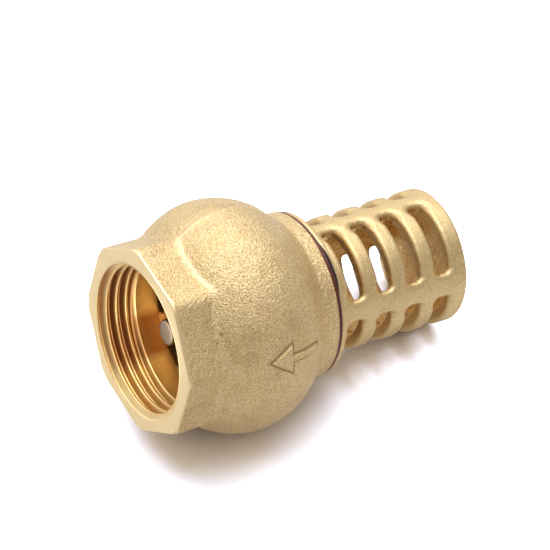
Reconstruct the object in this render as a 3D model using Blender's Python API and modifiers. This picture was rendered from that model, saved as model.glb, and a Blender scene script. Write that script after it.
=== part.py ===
"""Spring-loaded foot valve, 1 inch (G1 / DN25), cast brass.

A check valve for the bottom end of a suction line.  The frame has +Z up along
the flow, from the strainer at the bottom to the threaded outlet on top, with
the origin at the centre of the strainer's closed end face.

Dimensions are in millimetres and degrees.  A station along the axis is a depth
below the outlet face; z(depth) turns it into a height in metres.  A profile is
a list of (radius, depth) points.
"""

import math

import bmesh
import bpy
from mathutils import Matrix

# ---------------------------------------------------------------- dimensions
MM = 0.001
LENGTH = 70.0            # outlet face to strainer end
STACK_GAP = 0.3          # axial gap between neighbouring pieces
OVERCUT = 1.0            # how far a cutter runs past the face it opens
SEGMENTS = 48            # facets round a large turned piece
SMALL_SEGMENTS = 32      # facets round a small one

# outlet end: octagonal wrench section with a G1 female thread
OCT_FLATS = 37.75        # across flats
OCT_LENGTH = 12.0        # prism length; its last part is buried in the bulb
OCT_ROUND = 1.2          # rounding of the eight edges
MOUTH_R = 16.8           # lead-in chamfer at the face
THREAD_MAJOR_R = 16.62   # G1: 33.249 mm major diameter
THREAD_MINOR_R = 15.15   # G1: 30.291 mm minor diameter
THREAD_PITCH = 2.309     # 11 threads per inch
THREAD_FLAT = 0.28       # flat at each crest and each root
THREAD_START = 1.2
THREAD_TURNS = 4         # full grooves in the socket
SOCKET_DEPTH = 13.5      # face to the step into the chamber

# bulb: a turned arc, with the chamber inside it
BULB_MID = 20.1          # depth of the largest section
BULB_ARC_R = 15.98       # radius of the profile arc
BULB_CENTRE_R = 8.11     # radius of the circle the arc's centre sits on
BULB_TOP = 4.2
BULB_BOTTOM = 32.0
BULB_STEPS = 16
WALL = 2.8
CHAMBER_TOP = 15.6
CHAMBER_TOP_R = 19.4
CHAMBER_BOTTOM = 31.3
CHAMBER_STEPS = 8

# collar below the bulb
COLLAR_R = 17.33
COLLAR_END = 36.8        # face that takes the joint ring
COLLAR_BLEND = [(18.05, 32.7), (17.5, 33.35), (COLLAR_R, 34.1)]   # from the bulb
COLLAR_BORE_R = 15.0
COLLAR_BORE_TOP = 31.8

# bridge across the chamber that guides the stem
BRIDGE_TOP = 13.9
BRIDGE_BOTTOM = 17.2
BRIDGE_WIDTH = 6.6
BRIDGE_HALF_LENGTH = 20.9
BRIDGE_ROUND = 0.9       # rounding of its four long edges
BRIDGE_ANGLE = 95.0      # about +Z
BOSS_R = 5.4
BOSS_TOP = BRIDGE_TOP - 0.05
BOSS_BOTTOM = 20.2
BOSS_BORE_R = 4.2
BOSS_OVERCUT = 2.0

# guide bush
BUSH_R = 3.9
BUSH_BORE_R = 2.85
BUSH_TOP = BRIDGE_TOP
BUSH_BOTTOM = 20.0

# joint ring between body and strainer
RING_R = 17.15
RING_TOP = COLLAR_END + STACK_GAP
RING_BOTTOM = 37.4

# strainer
SEAT_TOP = 32.5          # raised seat lip on the neck's rim
SEAT_R = 11.7
SEAT_CHAMFER = 0.45
NECK_TOP = 33.1
NECK_R = 14.7
NECK_CHAMFER = 0.6
NECK_BORE_R = 10.5
NECK_BORE_END = 39.2
FLANGE_TOP = RING_BOTTOM + STACK_GAP
FLANGE_BOTTOM = 39.4
FLANGE_R = 17.2
FLANGE_CHAMFER_R = 0.35  # lower edge, radially
FLANGE_CHAMFER_H = 0.3   # lower edge, axially
SWEEP_CENTRE = (16.2, 41.7)   # concave sweep from the flange down to the tube
SWEEP_R = 2.45
SWEEP_ANGLES = (262.0, 186.0)
SWEEP_STEPS = 5
TUBE_END_R = 13.95
TUBE_BORE_R = 11.2
TUBE_BORE_TOP = 40.2
TUBE_BORE_CHAMFER = 1.0  # where the bore meets the end wall
END_WALL = 2.5
END_ROUND = 1.2
END_ROUND_STEPS = 3

SLOT_COLUMNS = 4
SLOT_ROWS = 4
SLOT_FIRST = 44.0        # depth of the first row's centre line
SLOT_PITCH = 6.85
SLOT_WIDTH = 3.8
SLOT_HALF_LENGTH = 7.64  # across the chord, to the end of the rounded tip
SLOT_TIP_STEPS = 6       # facets round a tip
SLOT_ANGLE = 22.5        # first column's direction, about +Z
SLOT_INNER = 8.0         # the cutters start inside the tube's bore
SLOT_OUTER = 15.2        # and end outside the tube

# spring and its seat
SPRING_R = 6.5           # centre line of the wire
WIRE_R = 0.35
SPRING_TOP = BRIDGE_BOTTOM + STACK_GAP
SPRING_BOTTOM = 26.5
SPRING_TURNS = 4.0
SPRING_STEPS = 18        # points in a turn
SPRING_END_TURNS = 0.5   # close-pitched part at each end
SPRING_END_DROP = 0.5    # depth covered by that part
SPRING_SEAT_R = 7.6
SPRING_SEAT_BORE_R = 4.6
SPRING_SEAT_TOP = SPRING_BOTTOM + STACK_GAP
SPRING_SEAT_BOTTOM = 27.3

# poppet
STEM_R = 2.7
STEM_TOP = 6.55
STEM_CHAMFER = 0.3
STEM_SHOULDER = 25.9
STUD_R = 2.0             # M4 stud below the shoulder
STUD_END = 38.9
STUD_CHAMFER = 0.4
HOLE_R = 2.3             # clearance hole over the stud
DISC_R = 12.9
DISC_HUB_R = 4.2
DISC_HUB_TOP = STEM_SHOULDER + STACK_GAP
DISC_HUB_CHAMFER = 0.4
DISC_PLATE_TOP = SPRING_SEAT_BOTTOM + STACK_GAP
DISC_BOTTOM = 29.6
# plate's sloping upper side: (radius, depth)
DISC_SLOPE = [(8.4, DISC_PLATE_TOP), (DISC_R - 0.2, DISC_PLATE_TOP + 0.75),
              (DISC_R, DISC_PLATE_TOP + 1.0)]
SEAL_R = 12.8
SEAL_TOP = DISC_BOTTOM + STACK_GAP
SEAL_BOTTOM = 32.2
RETAINER_R = 8.6
RETAINER_TOP = SEAL_BOTTOM + STACK_GAP
RETAINER_BOTTOM = 33.7
LOCK_R = 3.7
LOCK_TOP = RETAINER_BOTTOM + STACK_GAP
LOCK_BOTTOM = 34.8
LOCK_GAP = 0.9
LOCK_SLANT = 25.0        # slant of the cut, about X
LOCK_CUT_SIZE = 4.0      # the cutter's radial and axial size
LOCK_CUT_X = 3.2
NUT_FLATS = 7.0          # across flats
NUT_TOP = LOCK_BOTTOM + STACK_GAP
NUT_BOTTOM = 38.2
NUT_CONE = [(2.9, -0.3), (3.55, 0.0), (4.3, 0.45)]   # (radius, distance in from an end face)
NUT_CONE_SEGMENTS = 36
NUT_HOLE_SEGMENTS = 24


def z(depth):
    """Height in metres of a depth below the outlet face."""
    return (LENGTH - depth) * MM


# --------------------------------------------------------------------- scene
for old in list(bpy.data.objects):
    bpy.data.objects.remove(old, do_unlink=True)


def new_collection(name):
    collection = bpy.data.collections.new(name)
    bpy.context.scene.collection.children.link(collection)
    return collection


PARTS = new_collection("foot_valve")
CUTTERS = new_collection("cutters")     # boolean helpers, hidden from renders


def material(name, colour, roughness, metallic=0.0):
    mat = bpy.data.materials.new(name)
    mat.use_nodes = True
    shader = mat.node_tree.nodes["Principled BSDF"]
    shader.inputs["Base Color"].default_value = (*colour, 1.0)
    shader.inputs["Roughness"].default_value = roughness
    shader.inputs["Metallic"].default_value = metallic
    mat.diffuse_color = (*colour, 1.0)
    return mat


CAST_BRASS = material("cast_brass", colour=(0.66, 0.46, 0.20), roughness=0.42, metallic=1.0)
STRAINER_BRASS = material("strainer_brass", colour=(0.68, 0.47, 0.21), roughness=0.40,
                          metallic=1.0)
TURNED_BRASS = material("turned_brass", colour=(0.80, 0.58, 0.26), roughness=0.25, metallic=1.0)
STEEL = material("stainless", colour=(0.52, 0.49, 0.46), roughness=0.30, metallic=1.0)
RED_FIBRE = material("red_fibre", colour=(0.16, 0.03, 0.02), roughness=0.55)
BLACK_NYLON = material("black_nylon", colour=(0.02, 0.02, 0.02), roughness=0.45)
BLACK_NBR = material("black_nbr", colour=(0.015, 0.015, 0.015), roughness=0.70)
WHITE_PTFE = material("ptfe", colour=(0.78, 0.76, 0.70), roughness=0.50)


# ------------------------------------------------------------------- helpers
def mesh_object(name, bm, cutter=False):
    """Turn a bmesh into an object, and free it."""
    mesh = bpy.data.meshes.new(name)
    bm.to_mesh(mesh)
    bm.free()
    obj = bpy.data.objects.new(name, mesh)
    (CUTTERS if cutter else PARTS).objects.link(obj)
    if cutter:
        obj.hide_render = True
        obj.display_type = "WIRE"
    return obj


def evaluated_mesh(obj):
    """A new mesh of the object as its modifiers or curve settings shape it."""
    depsgraph = bpy.context.evaluated_depsgraph_get()
    return bpy.data.meshes.new_from_object(obj.evaluated_get(depsgraph))


def apply_modifiers(obj):
    mesh = evaluated_mesh(obj)
    obj.modifiers.clear()
    obj.data = mesh


def turned(name, profile, cutter=False, segments=SEGMENTS):
    """A solid spun about Z from a closed profile, listed down its outer side first."""
    bm = bmesh.new()
    verts = [bm.verts.new((radius * MM, 0.0, z(depth))) for radius, depth in profile]
    for start, end in zip(verts, verts[1:] + verts[:1]):
        if start.co.x < 1e-7 and end.co.x < 1e-7:
            continue          # a side lying on the axis is not spun
        bm.edges.new((start, end))
    obj = mesh_object(name, bm, cutter)
    screw = obj.modifiers.new("Turn", "SCREW")
    screw.axis = "Z"
    screw.angle = math.radians(360.0)
    screw.steps = segments
    screw.render_steps = segments
    screw.use_merge_vertices = True
    screw.merge_threshold = 0.00001
    apply_modifiers(obj)
    return obj


def ring_profile(outer, inner, top, bottom, chamfer=0.0):
    """Profile of a flat ring with optional chamfers on its outer edges.

    An inner radius of zero gives a solid cylinder.
    """
    if chamfer:
        side = [(outer - chamfer, top), (outer, top + chamfer),
                (outer, bottom - chamfer), (outer - chamfer, bottom)]
    else:
        side = [(outer, top), (outer, bottom)]
    return side + [(inner, bottom), (inner, top)]


def arc(steps, start, end, centre, radius):
    """Profile points on an arc; angles run from outward (0) to downward (90)."""
    points = []
    for i in range(steps + 1):
        angle = math.radians(start + (end - start) * i / steps)
        points.append((centre[0] + radius * math.cos(angle),
                       centre[1] + radius * math.sin(angle)))
    return points


def round_edges(bm, axis, offset):
    """Bevel the edges that run along an axis (0 = X, 2 = Z)."""
    edges = [e for e in bm.edges
             if abs(e.verts[0].co[axis] - e.verts[1].co[axis]) > 1e-4]
    bmesh.ops.bevel(bm, geom=edges, offset=offset * MM, offset_type="OFFSET",
                    segments=2, profile=0.5, affect="EDGES")


def prism(sides, across_flats, top, bottom, angle=0.0):
    """Bmesh of a regular upright prism, turned by an angle about Z."""
    bm = bmesh.new()
    corner_r = across_flats / 2 / math.cos(math.pi / sides) * MM
    bmesh.ops.create_cone(
        bm, cap_ends=True, segments=sides, radius1=corner_r, radius2=corner_r,
        depth=(bottom - top) * MM,
        matrix=Matrix.Translation((0, 0, z((top + bottom) / 2)))
        @ Matrix.Rotation(math.radians(angle), 4, "Z"))
    return bm


def box_cutter(name, size, angle, axis, x, depth, long_edge_round=0.0):
    """A box turned about an axis through its centre, centred at x and a depth."""
    bm = bmesh.new()
    bmesh.ops.create_cube(bm, size=1.0)
    bmesh.ops.scale(bm, vec=[side * MM for side in size], verts=bm.verts)
    if long_edge_round:
        round_edges(bm, 0, long_edge_round)
    bmesh.ops.rotate(bm, cent=(0, 0, 0), verts=bm.verts,
                     matrix=Matrix.Rotation(math.radians(angle), 3, axis))
    bmesh.ops.translate(bm, verts=bm.verts, vec=(x * MM, 0, z(depth)))
    return mesh_object(name, bm, cutter=True)


def boolean(obj, other, operation):
    """Combine an object with another one and apply the result."""
    modifier = obj.modifiers.new(operation.title(), "BOOLEAN")
    modifier.operation = operation
    modifier.solver = "EXACT"
    modifier.object = other
    apply_modifiers(obj)


def finish(obj, mat, sharp_angle=40.0):
    """Give a piece its material and shade its round faces smooth."""
    obj.data.materials.clear()
    obj.data.materials.append(mat)
    obj.data.shade_smooth()
    obj.data.set_sharp_from_angle(angle=math.radians(sharp_angle))


# --------------------------------------------------------------- valve body
def bulb_profile(top, bottom, steps, inset=0.0):
    """Points down the bulb's arc, moved inward by the inset."""
    arc_r = BULB_ARC_R - inset
    points = []
    for i in range(steps + 1):
        depth = top + (bottom - top) * i / steps
        radius = BULB_CENTRE_R + math.sqrt(arc_r * arc_r - (depth - BULB_MID) ** 2)
        points.append((radius, depth))
    return points


def body_blank():
    """Octagonal wrench section, with flats facing X, Y and the diagonals, on the bulb."""
    bm = prism(8, OCT_FLATS, 0.0, OCT_LENGTH, angle=22.5)
    round_edges(bm, 2, OCT_ROUND)
    octagon = mesh_object("octagon_blank", bm, cutter=True)
    outer = bulb_profile(BULB_TOP, BULB_BOTTOM, BULB_STEPS)
    outer += COLLAR_BLEND
    outer += [(COLLAR_R, COLLAR_END), (0.0, COLLAR_END), (0.0, BULB_TOP)]
    body = turned("valve_body", outer)
    boolean(body, octagon, "UNION")
    return body


def bore_cutter():
    """Socket with ring-shaped thread grooves, chamber and collar bore in one piece."""
    bore = [(MOUTH_R + OVERCUT, -OVERCUT), (MOUTH_R, 0.0), (THREAD_MINOR_R, THREAD_START)]
    flank = (THREAD_PITCH - 2 * THREAD_FLAT) / 2
    for i in range(THREAD_TURNS):
        start = THREAD_START + i * THREAD_PITCH
        bore += [(THREAD_MINOR_R, start + THREAD_FLAT),
                 (THREAD_MAJOR_R, start + THREAD_FLAT + flank),
                 (THREAD_MAJOR_R, start + 2 * THREAD_FLAT + flank),
                 (THREAD_MINOR_R, start + THREAD_PITCH)]
    bore += [(THREAD_MINOR_R, SOCKET_DEPTH), (CHAMBER_TOP_R, CHAMBER_TOP)]
    bore += bulb_profile(CHAMBER_TOP, CHAMBER_BOTTOM, CHAMBER_STEPS, inset=WALL)[1:]
    bore += [(COLLAR_BORE_R, COLLAR_BORE_TOP), (COLLAR_BORE_R, COLLAR_END + OVERCUT),
             (0.0, COLLAR_END + OVERCUT), (0.0, -OVERCUT)]
    return turned("socket_and_chamber", bore, cutter=True)


def add_bridge(body):
    """A bar across the chamber with a bored round boss on its middle."""
    bar = box_cutter(
        "bridge_bar",
        size=(2 * BRIDGE_HALF_LENGTH, BRIDGE_WIDTH, BRIDGE_BOTTOM - BRIDGE_TOP),
        angle=BRIDGE_ANGLE, axis="Z", x=0.0, depth=(BRIDGE_TOP + BRIDGE_BOTTOM) / 2,
        long_edge_round=BRIDGE_ROUND)
    boss = turned("bridge_boss", ring_profile(BOSS_R, 0.0, BOSS_TOP, BOSS_BOTTOM), cutter=True)
    hole = turned("boss_bore", ring_profile(BOSS_BORE_R, 0.0, BRIDGE_TOP - BOSS_OVERCUT,
                                            BOSS_BOTTOM + BOSS_OVERCUT), cutter=True)
    boolean(body, bar, "UNION")
    boolean(body, boss, "UNION")
    boolean(body, hole, "DIFFERENCE")


def build_body():
    body = body_blank()
    boolean(body, bore_cutter(), "DIFFERENCE")
    add_bridge(body)
    finish(body, CAST_BRASS, 30.0)


# ------------------------------------------------------------ strainer basket
def slot_mesh():
    """One round-ended slot cutter, pointing along +X at height zero."""
    tip_r = SLOT_WIDTH / 2
    bm = bmesh.new()
    verts = []
    for side in (1, -1):
        for i in range(SLOT_TIP_STEPS + 1):
            angle = math.radians(-90.0 + 180.0 / SLOT_TIP_STEPS * i)
            across = side * (SLOT_HALF_LENGTH - tip_r + tip_r * math.cos(angle))
            height = side * tip_r * math.sin(angle)
            verts.append(bm.verts.new((SLOT_INNER * MM, across * MM, height * MM)))
    swept = bmesh.ops.extrude_face_region(bm, geom=[bm.faces.new(verts)])
    moved = [v for v in swept["geom"] if isinstance(v, bmesh.types.BMVert)]
    bmesh.ops.translate(bm, verts=moved, vec=((SLOT_OUTER - SLOT_INNER) * MM, 0, 0))
    bmesh.ops.recalc_face_normals(bm, faces=bm.faces)
    mesh = bpy.data.meshes.new("slot")
    bm.to_mesh(mesh)
    bm.free()
    return mesh


def slot_cutters():
    """Columns of slots, each column pulled along its own radius."""
    slot = slot_mesh()
    bm = bmesh.new()
    for row in range(SLOT_ROWS):
        lift = Matrix.Translation((0, 0, z(SLOT_FIRST + row * SLOT_PITCH)))
        for column in range(SLOT_COLUMNS):
            angle = math.radians(SLOT_ANGLE + 360.0 / SLOT_COLUMNS * column)
            placed = slot.copy()
            placed.transform(Matrix.Rotation(angle, 4, "Z") @ lift)
            bm.from_mesh(placed)
            bpy.data.meshes.remove(placed)
    bpy.data.meshes.remove(slot)
    return mesh_object("slot_cutters", bm, cutter=True)


def build_strainer():
    floor = LENGTH - END_WALL
    profile = [(SEAT_R - SEAT_CHAMFER, SEAT_TOP), (SEAT_R, SEAT_TOP + SEAT_CHAMFER),
               (SEAT_R, NECK_TOP), (NECK_R - NECK_CHAMFER, NECK_TOP),
               (NECK_R, NECK_TOP + NECK_CHAMFER), (NECK_R, FLANGE_TOP),
               (FLANGE_R, FLANGE_TOP), (FLANGE_R, FLANGE_BOTTOM - FLANGE_CHAMFER_H),
               (FLANGE_R - FLANGE_CHAMFER_R, FLANGE_BOTTOM)]
    profile += arc(SWEEP_STEPS, *SWEEP_ANGLES, SWEEP_CENTRE, SWEEP_R)
    profile += arc(END_ROUND_STEPS, 0.0, 90.0,
                   (TUBE_END_R - END_ROUND, LENGTH - END_ROUND), END_ROUND)
    profile += [(0.0, LENGTH), (0.0, floor), (TUBE_BORE_R - TUBE_BORE_CHAMFER, floor),
                (TUBE_BORE_R, floor - TUBE_BORE_CHAMFER), (TUBE_BORE_R, TUBE_BORE_TOP),
                (NECK_BORE_R, NECK_BORE_END), (NECK_BORE_R, SEAT_TOP)]
    strainer = turned("strainer_basket", profile)
    boolean(strainer, slot_cutters(), "DIFFERENCE")
    finish(strainer, STRAINER_BRASS, 35.0)


# --------------------------------------------------------------- small pieces
def build_rings():
    # name, outer radius, bore radius, top, bottom, chamfer, segments, material
    rings = [
        ("joint_ring", RING_R, COLLAR_BORE_R, RING_TOP, RING_BOTTOM,
         0.0, SEGMENTS, RED_FIBRE),
        ("guide_bush", BUSH_R, BUSH_BORE_R, BUSH_TOP, BUSH_BOTTOM,
         0.3, SMALL_SEGMENTS, WHITE_PTFE),
        ("poppet_seal", SEAL_R, HOLE_R, SEAL_TOP, SEAL_BOTTOM,
         0.25, SEGMENTS, BLACK_NBR),
        ("seal_retainer", RETAINER_R, HOLE_R, RETAINER_TOP, RETAINER_BOTTOM,
         0.3, SEGMENTS, TURNED_BRASS),
        ("spring_seat", SPRING_SEAT_R, SPRING_SEAT_BORE_R, SPRING_SEAT_TOP, SPRING_SEAT_BOTTOM,
         0.0, SEGMENTS, STEEL),
    ]
    for name, outer, bore, top, bottom, chamfer, segments, mat in rings:
        profile = ring_profile(outer, bore, top, bottom, chamfer)
        finish(turned(name, profile, segments=segments), mat)


def build_stem():
    profile = [(0.0, STEM_TOP), (STEM_R - STEM_CHAMFER, STEM_TOP),
               (STEM_R, STEM_TOP + STEM_CHAMFER), (STEM_R, STEM_SHOULDER),
               (STUD_R, STEM_SHOULDER), (STUD_R, STUD_END - STUD_CHAMFER),
               (STUD_R - STUD_CHAMFER, STUD_END), (0.0, STUD_END)]
    finish(turned("poppet_stem", profile, segments=SMALL_SEGMENTS), STEEL)


def build_disc():
    profile = [(DISC_HUB_R - DISC_HUB_CHAMFER, DISC_HUB_TOP),
               (DISC_HUB_R, DISC_HUB_TOP + DISC_HUB_CHAMFER),
               (DISC_HUB_R, DISC_PLATE_TOP)]
    profile += DISC_SLOPE
    profile += [(DISC_R, DISC_BOTTOM), (HOLE_R, DISC_BOTTOM), (HOLE_R, DISC_HUB_TOP)]
    finish(turned("poppet_disc", profile), BLACK_NYLON)


def build_lock_washer():
    """A split spring washer: a rectangular-section ring with a slanting cut."""
    washer = turned("lock_washer", ring_profile(LOCK_R, HOLE_R, LOCK_TOP, LOCK_BOTTOM),
                    segments=SMALL_SEGMENTS)
    cut = box_cutter("lock_washer_cut", size=(LOCK_CUT_SIZE, LOCK_GAP, LOCK_CUT_SIZE),
                     angle=LOCK_SLANT, axis="X", x=LOCK_CUT_X,
                     depth=(LOCK_TOP + LOCK_BOTTOM) / 2)
    boolean(washer, cut, "DIFFERENCE")
    finish(washer, STEEL)


def build_nut():
    """A hexagon nut with its corners broken by a cone at both ends."""
    nut = mesh_object("retaining_nut", prism(6, NUT_FLATS, NUT_TOP, NUT_BOTTOM))
    side = [(radius, NUT_TOP + inward) for radius, inward in NUT_CONE]
    side += [(radius, NUT_BOTTOM - inward) for radius, inward in reversed(NUT_CONE)]
    cone = turned("nut_cone", side + [(0.0, side[-1][1]), (0.0, side[0][1])],
                  cutter=True, segments=NUT_CONE_SEGMENTS)
    hole = turned("nut_hole",
                  ring_profile(HOLE_R, 0.0, NUT_TOP - OVERCUT, NUT_BOTTOM + OVERCUT),
                  cutter=True, segments=NUT_HOLE_SEGMENTS)
    boolean(nut, cone, "INTERSECT")
    boolean(nut, hole, "DIFFERENCE")
    finish(nut, TURNED_BRASS)


def spring_depth(turn):
    """Depth of the wire's centre line: close pitch at each end, the rest even."""
    top = SPRING_TOP + WIRE_R
    bottom = SPRING_BOTTOM - WIRE_R
    if turn < SPRING_END_TURNS:
        return top + SPRING_END_DROP * turn / SPRING_END_TURNS
    if turn > SPRING_TURNS - SPRING_END_TURNS:
        return bottom - SPRING_END_DROP * (SPRING_TURNS - turn) / SPRING_END_TURNS
    share = (turn - SPRING_END_TURNS) / (SPRING_TURNS - 2 * SPRING_END_TURNS)
    return top + SPRING_END_DROP + (bottom - top - 2 * SPRING_END_DROP) * share


def build_spring():
    """Compression spring: a bevelled curve turned into a welded mesh."""
    curve = bpy.data.curves.new("return_spring", "CURVE")
    curve.dimensions = "3D"
    curve.bevel_depth = WIRE_R * MM
    curve.bevel_resolution = 2
    curve.use_fill_caps = True
    spline = curve.splines.new("POLY")
    count = int(SPRING_TURNS * SPRING_STEPS)
    spline.points.add(count)
    for i, point in enumerate(spline.points):
        turn = i / SPRING_STEPS
        angle = 2 * math.pi * turn
        point.co = (SPRING_R * MM * math.cos(angle), SPRING_R * MM * math.sin(angle),
                    z(spring_depth(turn)), 1.0)
    wire = bpy.data.objects.new("return_spring", curve)
    PARTS.objects.link(wire)
    bm = bmesh.new()
    bm.from_mesh(evaluated_mesh(wire))
    bpy.data.objects.remove(wire, do_unlink=True)    # frees the name for the mesh object
    bmesh.ops.remove_doubles(bm, verts=bm.verts, dist=0.00001)
    finish(mesh_object("return_spring", bm), STEEL, 60.0)


build_body()
build_strainer()
build_rings()
build_stem()
build_disc()
build_lock_washer()
build_nut()
build_spring()
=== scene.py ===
# Brass spring valve with a cast strainer.  The axis is Z: the octagonal outlet end is up, with its
# face at z = LENGTH, and the strainer's closed end is at z = 0.  The floor is tilted to suit, so
# that the valve lies on its side.
#
# Shapes are worked out in millimetres and stored in metres.  "s" is the depth below the outlet
# face and psi the angle about +Z from +X, so a point is (r cos psi, r sin psi, LENGTH - s).
import math

import bmesh
import bpy
import numpy as np
from mathutils import Matrix, Vector


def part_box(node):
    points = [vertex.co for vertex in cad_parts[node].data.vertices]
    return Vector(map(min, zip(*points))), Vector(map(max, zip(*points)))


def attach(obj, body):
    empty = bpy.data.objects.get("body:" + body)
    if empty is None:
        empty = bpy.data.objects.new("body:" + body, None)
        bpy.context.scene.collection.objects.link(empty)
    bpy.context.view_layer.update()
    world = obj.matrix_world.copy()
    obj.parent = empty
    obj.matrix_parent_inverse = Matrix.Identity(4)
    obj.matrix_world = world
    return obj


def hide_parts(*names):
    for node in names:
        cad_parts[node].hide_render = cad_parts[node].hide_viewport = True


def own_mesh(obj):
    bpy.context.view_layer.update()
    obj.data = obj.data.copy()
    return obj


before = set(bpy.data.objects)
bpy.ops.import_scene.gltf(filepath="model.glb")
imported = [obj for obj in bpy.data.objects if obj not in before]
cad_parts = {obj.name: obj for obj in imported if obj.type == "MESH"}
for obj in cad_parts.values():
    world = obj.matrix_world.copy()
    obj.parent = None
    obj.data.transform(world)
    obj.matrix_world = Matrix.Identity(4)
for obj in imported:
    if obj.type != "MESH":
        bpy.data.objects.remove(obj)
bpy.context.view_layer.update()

MM = 0.001
LENGTH = (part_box("valve_body")[1].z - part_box("strainer_basket")[0].z) / MM   # 70, face to end

# Dimensions that more than one piece uses
HALF_FLATS = 18.875              # half the width across the octagon's flats
BULB_S = 20.1                    # depth of the bulb's widest place
BULB_ARC_R = 15.98               # radius of the bulb's outline arc
BULB_CENTRE_R = 8.11             # distance of that arc's centre from the axis
WALL = 2.8                       # thickness of the bulb's wall
COLLAR_R, COLLAR_END = 17.36, 36.98
CORE_TOP = 15.8                  # depth where the hollow inside the bulb begins
RING_END = 37.60                 # strainer side of the joint ring
POPPET_BORE = 2.3                # hole radius of the pieces stacked on the stem
STUD_PITCH = 0.7                 # thread of the stem's stud and its nut


# ------------------------------------------------------------------------------ profiles and fields
def angles(count):
    return np.linspace(0, 2 * np.pi, count, endpoint=False)


def fold(angle, period):
    """The angle brought into one period centred on zero."""
    return (angle + period / 2) % period - period / 2


def clamp01(value):
    return np.clip(value, 0, 1)


def smoothstep(t):
    return t * t * (3 - 2 * t)


def smax(a, b, width):
    """The larger of a and b, rounded off over a width where they cross."""
    h = clamp01(0.5 + 0.5 * (a - b) / width)
    return b + (a - b) * h + width * h * (1 - h)


def smin(a, b, width):
    return -smax(-a, -b, width)


def cut_round(a, b, radius):
    """Intersection of two distance fields with its outside edge rounded."""
    return (np.minimum(-radius, np.maximum(a, b))
            + np.hypot(np.maximum(a + radius, 0), np.maximum(b + radius, 0)))


def join_round(a, b, radius):
    """Union of two distance fields with a fillet."""
    return (np.maximum(radius, np.minimum(a, b))
            - np.hypot(np.maximum(radius - a, 0), np.maximum(radius - b, 0)))


def round_rectangle(x, y, half_x, half_y, radius):
    """Distance field of a rectangle with rounded corners."""
    qx, qy = np.abs(x) - (half_x - radius), np.abs(y) - (half_y - radius)
    outside = np.hypot(np.maximum(qx, 0), np.maximum(qy, 0))
    return outside + np.minimum(np.maximum(qx, qy), 0) - radius


def rounded(points, radius=0.2, steps=4):
    """A closed (r, s) polygon with arcs for corners; points are (r, s) or (r, s, own radius)."""
    out = []
    for k, point in enumerate(points):
        corner = np.array(point[:2], float)
        before = np.array(points[k - 1][:2], float) - corner
        after = np.array(points[(k + 1) % len(points)][:2], float) - corner
        arc = point[2] if len(point) > 2 else radius
        len_before, len_after = np.linalg.norm(before), np.linalg.norm(after)
        before, after = before / len_before, after / len_after
        angle = math.acos(float(np.clip(before @ after, -1, 1)))
        if arc <= 0 or angle > math.pi - 0.03:
            out.append(tuple(corner))
            continue
        tangent = min(arc / math.tan(angle / 2), 0.45 * len_before, 0.45 * len_after)
        arc = tangent * math.tan(angle / 2)
        middle = (before + after) / np.linalg.norm(before + after)
        centre = corner + middle * arc / math.sin(angle / 2)
        start = corner + before * tangent - centre
        end = corner + after * tangent - centre
        for i in range(steps + 1):
            f = i / steps
            spoke = start * (1 - f) + end * f
            out.append(tuple(centre + spoke / np.linalg.norm(spoke) * arc))
    return out


def refine(profile, step):
    """Extra points along the long sides of a closed profile."""
    out = []
    for k in range(len(profile)):
        a, b = np.array(profile[k]), np.array(profile[(k + 1) % len(profile)])
        parts = max(1, int(np.ceil(np.linalg.norm(b - a) / step)))
        for i in range(parts):
            out.append(tuple(a + (b - a) * i / parts))
    return out


class Waves:
    """Smooth seeded noise: sine waves with wavelengths between two limits, about -1 to 1."""

    def __init__(self, shortest, longest, count, seed):
        rng = np.random.default_rng(seed)
        direction = rng.normal(size=(count, 3))
        direction /= np.linalg.norm(direction, axis=1)[:, None]
        length = np.exp(rng.uniform(np.log(shortest), np.log(longest), count))
        self.vectors = direction * (2 * np.pi / length)[:, None]
        self.phases = rng.uniform(0, 2 * np.pi, count)
        self.weights = length / length.max()
        self.norm = np.sqrt((self.weights**2).sum() / 2) * 1.8

    def __call__(self, x, y, z):
        total = 0.0
        for k, phase, weight in zip(self.vectors, self.phases, self.weights):
            total = total + weight * np.sin(k[0] * x + k[1] * y + k[2] * z + phase)
        return total / self.norm


# ------------------------------------------------------------------------------ mesh helpers
def new_object(name, verts, faces, mats, sharp_angle=None):
    """A smooth object from points in mm; with a sharp angle, its faces are also turned outward."""
    me = bpy.data.meshes.new(name)
    me.from_pydata((np.asarray(verts) * MM).tolist(), [], faces)
    if sharp_angle is not None:
        bm = bmesh.new()
        bm.from_mesh(me)
        bmesh.ops.recalc_face_normals(bm, faces=bm.faces)
        bm.to_mesh(me)
        bm.free()
    me.update()
    me.shade_smooth()
    if sharp_angle is not None:
        me.set_sharp_from_angle(angle=math.radians(sharp_angle))
    for mat in mats:
        me.materials.append(mat)
    ob = bpy.data.objects.new(name, me)
    bpy.context.scene.collection.objects.link(ob)
    return ob


def quad_object(name, verts, quads, mats, mat_index=None):
    """An object from arrays of points and quads, turned outward by its volume's sign."""
    a, b, c, d = (verts[quads[:, i]] for i in range(4))
    volume = (np.einsum("ij,ij->i", a, np.cross(b, c))
              + np.einsum("ij,ij->i", a, np.cross(c, d))).sum() / 6
    if volume < 0:
        quads = quads[:, ::-1]
    ob = new_object(name, verts, quads.tolist(), mats)
    if mat_index is not None:
        ob.data.polygons.foreach_set("material_index", np.asarray(mat_index, np.int32))
        ob.data.update()
    return ob


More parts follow.
